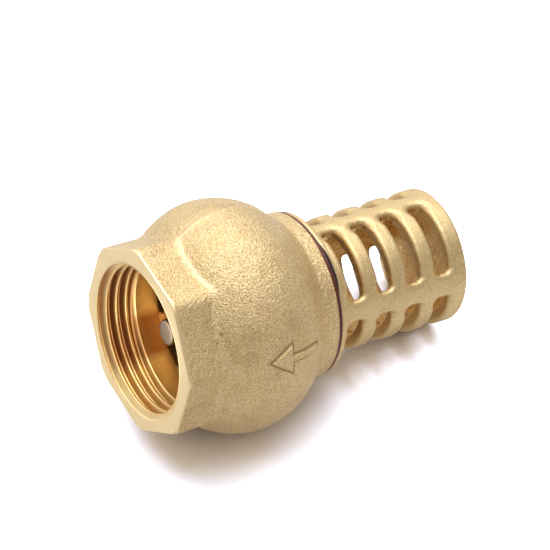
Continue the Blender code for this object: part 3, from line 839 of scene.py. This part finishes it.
def strainer_sdf(x, y, z):
    s = LENGTH - z
    r = np.sqrt(x * x + y * y)
    psi = np.arctan2(y, x)
    tube = r - (TUBE_R + np.clip(s - TAPER_S, 0, TAPER_LENGTH) * TAPER)
    tube = cut_round(tube, s - LENGTH - 0.3, 0.75)
    tube = np.maximum(tube, 38.0 - s)
    flange = cut_round(r - FLANGE_R, np.abs(s - FLANGE_S) - FLANGE_HALF, 0.42)
    outer = join_round(tube, flange, 1.9)
    outer = outer + 0.030 * strainer_lumps(x, y, z)
    outer = np.maximum(outer, FLANGE_FACE - s)
    phase = (s / NECK_PITCH + psi / (2 * np.pi)) % 1.0
    thread = 0.36 * np.clip(2.4 * (np.abs(phase - 0.5) - 0.25), -0.5, 0.5)
    neck = cut_round(r - NECK_R - thread, np.abs(s - NECK_S) - NECK_HALF, 0.3)
    lip = cut_round(r - LIP_R, LIP_START - s, 0.25)
    lip = np.maximum(lip, s - LIP_END)
    outer = np.minimum(np.minimum(outer, neck), lip)
    bore = np.maximum(r - STRAINER_BORE - clamp01((s - 37.0) / 4.0) * 0.9,
                      s - (LENGTH - FLOOR_THICKNESS))
    column = fold(psi - COLUMN_PSI, np.pi / 2)
    quarter = np.floor((psi - COLUMN_PSI + np.pi / 4) / (np.pi / 2)).astype(int) % 4
    column = column - COLUMN_SHIFT[quarter]
    sideways = r * np.abs(np.sin(column))
    row = np.clip(np.round((s - SLOT_S) / SLOT_PITCH), 0, LAST_SLOT)
    slot = round_rectangle(sideways, s - SLOT_S - row * SLOT_PITCH,
                           SLOT_HALF_WIDTH, SLOT_HEIGHT / 2, SLOT_ROUND)
    rounding = 0.88 + 1.25 * clamp01((sideways - 4.9) / 2.3)
    return np.maximum(cut_round(outer, -slot, rounding), cut_round(-bore, -slot, 0.35))


def strainer_material(x, y, z):
    """1, the core's brass, lighter as painted light, on the inside; 0 elsewhere."""
    s = LENGTH - z
    inside = (np.hypot(x, y) < 11.6) & (s < LENGTH - 2.0) & (s > 39.5)
    return np.where(inside, 1, 0)


def build_strainer():
    ob = surface_nets("strainer_casting", strainer_sdf, lo=(-18, -18, -0.6), hi=(18, 18, 38.4),
                      h=0.235, mats=[STRAINER_CAST, STRAINER_CORE_LIGHTENED],
                      pick=strainer_material)
    register(ob, "casing", "strainer_basket")


# ------------------------------------------------------------------------------ joint ring
def build_joint_ring():
    """Squeezed between the two faces, so its edge bulges unevenly."""
    edge_r, inner_r, flat_r, bulge = 17.16, 15.2, 16.6, 0.15
    start = COLLAR_END - 0.03
    psi = angles(360)
    rng = np.random.default_rng(4)
    wobble = sum(rng.normal() / k * np.sin(k * psi + rng.uniform(0, 6.28))
                 for k in range(2, 22)) * 0.035
    # a lobe that hangs over the flange's edge, black from the ring's painted shade
    dark_lobe = np.exp(-((fold(psi - math.radians(-70), 2 * np.pi) / 0.30) ** 4))
    rows = []
    for t in np.linspace(-1, 1, 11):
        radius = edge_r + bulge * math.sqrt(max(0.0, 1 - t * t)) + wobble
        if abs(t) < 1:
            radius = radius + 0.10 * dark_lobe
        depth = (start + RING_END) / 2 + t * (RING_END - start) / 2
        rows.append((radius, depth + 0.62 * dark_lobe * clamp01(t) ** 1.5))
    rows += [(r, RING_END) for r in np.linspace(flat_r, inner_r, 4)]
    rows += [(r, start) for r in np.linspace(inner_r, flat_r, 4)]
    ob = ring_object("joint_fibre_ring", psi, rows, [RED_FIBRE])
    register(ob, "casing", "joint_ring")


# ------------------------------------------------------------------------------ inner parts
def build_bush():
    """Guide bush, pressed into the bridge's boss."""
    profile = [(3.93, 13.8), (3.93, 20.1), (2.85, 20.1), (2.85, 13.8)]
    ob = revolve("guide_bush_turned", refine(rounded(profile, 0.18), 0.6), 96, PTFE)
    register(ob, "casing", "guide_bush")


def stud_groove(s, psi):
    """Depth of the stud's thread groove, 0 to 1."""
    phase = (s / STUD_PITCH + psi / (2 * np.pi)) % 1.0
    return 1 - clamp01(np.abs(phase - 0.5) * 2.5 - 0.1)


def build_stem():
    """Ground shank, shoulder and threaded stud."""
    shank_r, stud_r, thread_s = 2.70, 2.0, 29.0
    rows = [(0.9, 6.55), (1.8, 6.55), (2.30, 6.55), (2.45, 6.58), (2.6, 6.72), (2.68, 6.90),
            (shank_r, 7.1)]
    rows += [(shank_r, s) for s in np.linspace(8, 25.6, 12)]
    rows += [(2.68, 25.8), (2.6, 25.9), (2.2, 25.9), (stud_r, 25.95)]
    rows += [(stud_r, s) for s in np.arange(26.05, 38.4, 0.1)]
    rows += [(1.85, 38.6), (1.6, 38.85), (1.0, 38.9)]

    def cut(psi, r, s):
        if r != stud_r or s < thread_s:
            return np.zeros(len(psi))
        return -0.36 * min(1.0, (s - thread_s) / 0.8) * stud_groove(s, psi)

    ob = turned_solid("stem_turned", rows, 72, STEEL_IN_PAINTED_SHADE, cut)
    register(ob, "poppet", "poppet_stem")


def build_disc():
    """Nylon disc with a hub, a step and six shallow ribs on its outlet side."""
    profile = [(4.2, 26.2, 0.35), (4.2, 27.55, 0.5), (8.4, 27.62, 0.3), (12.7, 28.35, 0.3),
               (12.9, 29.6, 0.25), (POPPET_BORE, 29.6, 0.1), (POPPET_BORE, 26.2, 0.2)]
    rib_in, rib_out, rib_height = 7.9, 12.6, 0.42
    psi = angles(240)
    rows = []
    for r, s in refine(rounded(profile, 0.3), 0.5):
        if s < 29.0 and rib_in < r < rib_out:
            aside = np.abs(fold(psi, np.pi / 3)) * r
            s = s - (rib_height * (1 - clamp01((aside - 0.4) / 0.35))
                     * min(1.0, (r - rib_in) / 0.6) * min(1.0, (rib_out - r) / 0.6))
        rows.append((r, s))
    ob = ring_object("disc_moulding", psi, rows, [NYLON])
    register(ob, "poppet", "poppet_disc")


def build_seal():
    profile = [(12.8, 29.65, 0.3), (12.8, 32.2, 0.35), (11.9, 32.2, 0.1), (11.6, 32.28, 0.1),
               (10.9, 32.28, 0.1), (10.6, 32.2, 0.1), (POPPET_BORE, 32.2, 0.1),
               (POPPET_BORE, 29.65, 0.1)]
    ob = revolve("seal_rubber", refine(rounded(profile), 0.6), 160, RUBBER)
    register(ob, "poppet", "poppet_seal")


def build_retainer():
    profile = [(8.6, 32.25, 0.15), (8.6, 33.7, 0.4), (POPPET_BORE, 33.7, 0.1),
               (POPPET_BORE, 32.25, 0.05)]
    ob = revolve("retainer_turned", refine(rounded(profile), 0.5), 128, TURNED)
    register(ob, "poppet", "seal_retainer")


def build_lock_washer():
    """A square section swept round, its two ends sprung apart."""
    outer_r, half, middle_s = 3.7, 0.36, 34.3
    gap = 0.9 / 3.0                                      # angle left open
    steps = 90
    section = rounded([(outer_r, -half), (outer_r, half), (POPPET_BORE, half),
                       (POPPET_BORE, -half)], 0.08, 2)
    verts = []
    for i in range(steps + 1):
        psi = gap / 2 + (2 * np.pi - gap) * i / steps
        lift = 0.12 * (i / steps - 0.5) * 2 * (abs(i / steps - 0.5) * 2) ** 6
        for r, s in section:
            skew = psi + s * 0.18                        # the ends are cut at a slant
            verts.append((r * math.cos(skew), r * math.sin(skew), LENGTH - (middle_s + s + lift)))
    m = len(section)
    faces = [(i * m + j, i * m + (j + 1) % m, (i + 1) * m + (j + 1) % m, (i + 1) * m + j)
             for i in range(steps) for j in range(m)]
    faces += [tuple(range(m))[::-1], tuple(steps * m + j for j in range(m))]
    ob = new_object("lock_washer_split", verts, faces, [SPRING_STEEL], sharp_angle=50)
    register(ob, "poppet", "lock_washer")


def nut_sdf(x, y, z):
    half_flats, middle_s, half_height = 3.5, 36.4, 1.6
    s = LENGTH - z
    r = np.sqrt(x * x + y * y)
    psi = np.arctan2(y, x)
    hexagon = r * np.cos(fold(psi, np.pi / 3)) - half_flats
    end = np.abs(s - middle_s) - half_height
    d = cut_round(hexagon, end, 0.10)
    d = np.maximum(d, (r - 3.75 + end * 1.7) * 0.5)      # chamfered corners
    hole = np.maximum(2.06 - 0.2 * stud_groove(s, psi) - r, 1.95 - r)
    return np.maximum(d, hole)


def build_nut():
    ob = surface_nets("nut_hexagon", nut_sdf, lo=(-4.4, -4.4, 31.6), hi=(4.4, 4.4, 35.6), h=0.13,
                      mats=[TURNED])
    register(ob, "poppet", "retaining_nut")


def build_spring_seat():
    profile = [(7.6, 26.85), (7.6, 27.45), (4.6, 27.45), (4.6, 26.85)]
    ob = revolve("spring_seat_washer", refine(rounded(profile, 0.12, 3), 0.5), 128, SPRING_STEEL)
    register(ob, "spring", "spring_seat")


def build_spring():
    """Return spring: round wire with closed ends."""
    turns, steps, sides = 4.0, 60, 18                    # steps per turn, sides of the wire
    top, bottom, wire_r, coil_r = 17.45, 26.65, 0.36, 6.5
    end_rise = 0.42                                      # climb of each closed half turn
    travel = bottom - top - 2 * wire_r
    count = int(turns * steps)
    verts = []
    for i in range(count + 1):
        t = i / steps
        if t < 0.5:
            drop = end_rise * t / 0.5
        elif t > turns - 0.5:
            drop = travel - end_rise * (turns - t) / 0.5
        else:
            drop = end_rise + (travel - 2 * end_rise) * (t - 0.5) / (turns - 1.0)
        psi = 2 * np.pi * t
        for j in range(sides):
            b = 2 * np.pi * j / sides
            r = coil_r + wire_r * math.cos(b)
            verts.append((r * math.cos(psi), r * math.sin(psi),
                          LENGTH - (top + wire_r + drop) + wire_r * math.sin(b)))
    faces = [(i * sides + j, (i + 1) * sides + j, (i + 1) * sides + (j + 1) % sides,
              i * sides + (j + 1) % sides) for i in range(count) for j in range(sides)]
    faces += [tuple(range(sides)), tuple(count * sides + j for j in range(sides))[::-1]]
    ob = new_object("spring_wire", verts, faces, [SPRING_STEEL], sharp_angle=60)
    register(ob, "spring", "return_spring")
    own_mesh(ob)


# ------------------------------------------------------------------------------ stage
# The valve lies on its bulb and on the strainer's end: the floor is a plane that touches both.
FLOOR_NORMAL = Vector((0.724701, -0.657641, 0.205709)).normalized()
FLOOR_POINT = Vector((-17.334, 15.73, 44.98)) * MM
FLOOR_HALF = 2.4                                 # metres
FLOOR_GAP = 0.00006                              # metres below the touching plane

CAMERA_AT = Vector((105.2737, -603.7118, 362.8918)) * MM
CAMERA_RIGHT = Vector((-0.206047, -0.491697, -0.846037))
CAMERA_UP = Vector((0.967815, 0.025269, -0.250391))
CAMERA_BACK = Vector((0.144495, -0.870399, 0.470666))

LIGHT_TARGET = Vector((0, 0, 0.042))


def floor_material():
    """White to the camera with dark contact shadows, a glowing card to reflections, one-sided."""
    mat = bpy.data.materials.new("floor_white")
    mat.use_nodes = True
    tree = mat.node_tree
    tree.nodes.remove(tree.nodes["Principled BSDF"])
    occlusion = add_node(tree, "AmbientOcclusion", {"Distance": 0.020}, samples=16)
    near = add_node(tree, "MapRange", {"From Min": 0.10, "From Max": 0.80,
                                       "Value": occlusion.outputs["AO"]},
                    interpolation_type="SMOOTHSTEP")
    shadow, paper = (0.10, 0.13, 0.18), (3.95, 4.15, 4.9)        # paper is overexposed
    tone = add_node(tree, "Mix", {0: near.outputs["Result"], 6: rgba(shadow), 7: rgba(paper)},
                    data_type="RGBA")
    seen = add_node(tree, "BsdfDiffuse", {"Color": tone.outputs[2]})
    # as the metal reflects it: partly lit through from below
    card = add_node(tree, "BsdfDiffuse", {"Color": rgba((0.92, 0.91, 0.90))})
    glow = add_node(tree, "Emission", {"Strength": 0.19})
    lit = add_node(tree, "AddShader", {0: card.outputs[0], 1: glow.outputs[0]})
    path = add_node(tree, "LightPath")
    upper = add_node(tree, "MixShader", {0: path.outputs["Is Camera Ray"], 1: lit.outputs[0],
                                         2: seen.outputs[0]})
    geometry = add_node(tree, "NewGeometry")
    clear = add_node(tree, "BsdfTransparent")
    both = add_node(tree, "MixShader", {0: geometry.outputs["Backfacing"], 1: upper.outputs[0],
                                        2: clear.outputs[0]})
    connect(tree, tree.nodes["Material Output"].inputs["Surface"], both.outputs[0])
    return mat


def build_floor():
    me = bpy.data.meshes.new("floor")
    side1 = FLOOR_NORMAL.orthogonal().normalized()
    side2 = FLOOR_NORMAL.cross(side1)
    centre = FLOOR_POINT - FLOOR_NORMAL * FLOOR_GAP
    me.from_pydata([centre + side1 * FLOOR_HALF * a + side2 * FLOOR_HALF * b
                    for a, b in ((-1, -1), (1, -1), (1, 1), (-1, 1))], [], [(0, 1, 2, 3)])
    me.update()
    if me.polygons[0].normal.dot(FLOOR_NORMAL) < 0:
        me.flip_normals()
    ob = bpy.data.objects.new("floor", me)
    bpy.context.scene.collection.objects.link(ob)
    me.materials.append(floor_material())


def build_camera():
    cam = bpy.data.cameras.new("camera")
    cam.lens = 223.55
    cam.shift_x, cam.shift_y = 0.0007, -0.0009
    cam.sensor_width = 36.0
    cam.clip_start, cam.clip_end = 0.01, 20.0
    ob = bpy.data.objects.new("camera", cam)
    bpy.context.scene.collection.objects.link(ob)
    matrix = Matrix((CAMERA_RIGHT, CAMERA_UP, CAMERA_BACK)).transposed().to_4x4()
    matrix.translation = CAMERA_AT
    ob.matrix_world = matrix
    bpy.context.scene.camera = ob


def area_light(name, direction, distance, size, power, colour, shape="SQUARE"):
    """An area light at a distance (m) from the valve, facing it."""
    light = bpy.data.lights.new(name, "AREA")
    light.shape = shape
    light.size = size
    light.energy = power
    light.color = colour
    ob = bpy.data.objects.new(name, light)
    toward = Vector(direction).normalized()
    ob.location = LIGHT_TARGET + toward * distance
    ob.rotation_euler = toward.to_track_quat("Z", "Y").to_euler()
    bpy.context.scene.collection.objects.link(ob)
    return ob


def camera_direction(right, up, back):
    return (CAMERA_RIGHT * right + CAMERA_UP * up + CAMERA_BACK * back).normalized()


def build_lights():
    area_light("ceiling_softbox", camera_direction(right=-0.05, up=0.87, back=0.49),
               distance=0.78, size=1.12, power=5.9, colour=(0.92, 1.0, 1.09))
    area_light("softbox_centre", camera_direction(right=-0.04, up=0.87, back=0.49),
               distance=0.76, size=0.30, power=0.90, colour=(0.93, 1.0, 1.08))
    # what the open mouth would gather from the room around it, aimed straight down the bore
    fill = area_light("mouth_fill", (0, 0, 1), distance=0.0295, size=0.021, power=0.0039,
                      colour=(0.97, 0.97, 0.82), shape="DISK")
    fill.visible_camera = False


def build_world():
    """White to the camera; elsewhere an even grey with two brighter lobes, dim to diffuse rays."""
    world = bpy.data.worlds.new("studio")
    bpy.context.scene.world = world
    world.use_nodes = True
    tree = world.node_tree
    view = add_node(tree, "TexCoord").outputs["Generated"]

    def lobe(direction, start, end, gain):
        dot = add_node(tree, "VectorMath", {0: view, 1: tuple(direction)},
                       operation="DOT_PRODUCT")
        spread = {"From Min": start, "From Max": end, "To Min": 0.0, "To Max": gain,
                  "Value": dot.outputs["Value"]}
        return add_node(tree, "MapRange", spread,
                        interpolation_type="SMOOTHSTEP").outputs["Result"]

    below = lobe(camera_direction(right=-0.75, up=0.15, back=-0.65),
                 start=0.1, end=0.95, gain=0.60)
    behind = lobe(camera_direction(right=-0.1, up=0.6, back=-0.8), start=0.2, end=0.95, gain=0.40)
    lobes = add_node(tree, "Math", {0: below, 1: behind}, operation="ADD").outputs[0]
    even_grey, diffuse_level, camera_level = 0.51, 0.06, 1.0
    room = add_node(tree, "Math", {0: lobes, 1: even_grey}, operation="ADD").outputs[0]
    path = add_node(tree, "LightPath").outputs
    # the floor's own bounce light comes from the softbox
    dim = add_node(tree, "Mix", {0: path["Is Diffuse Ray"], 2: room, 3: diffuse_level})
    level = add_node(tree, "Mix", {0: path["Is Camera Ray"], 2: dim.outputs[0], 3: camera_level})
    background = tree.nodes["Background"]
    connect(tree, background.inputs["Strength"], level.outputs[0])
    background.inputs["Color"].default_value = (1, 1, 1, 1)


build_casting()
build_bridge()
build_strainer()
build_joint_ring()
build_bush()
build_stem()
build_disc()
build_seal()
build_retainer()
build_lock_washer()
build_nut()
build_spring_seat()
build_spring()

build_floor()
build_camera()
build_lights()
build_world()
bpy.context.scene.view_settings.view_transform = "Standard"
bpy.context.scene.view_settings.look = "None"
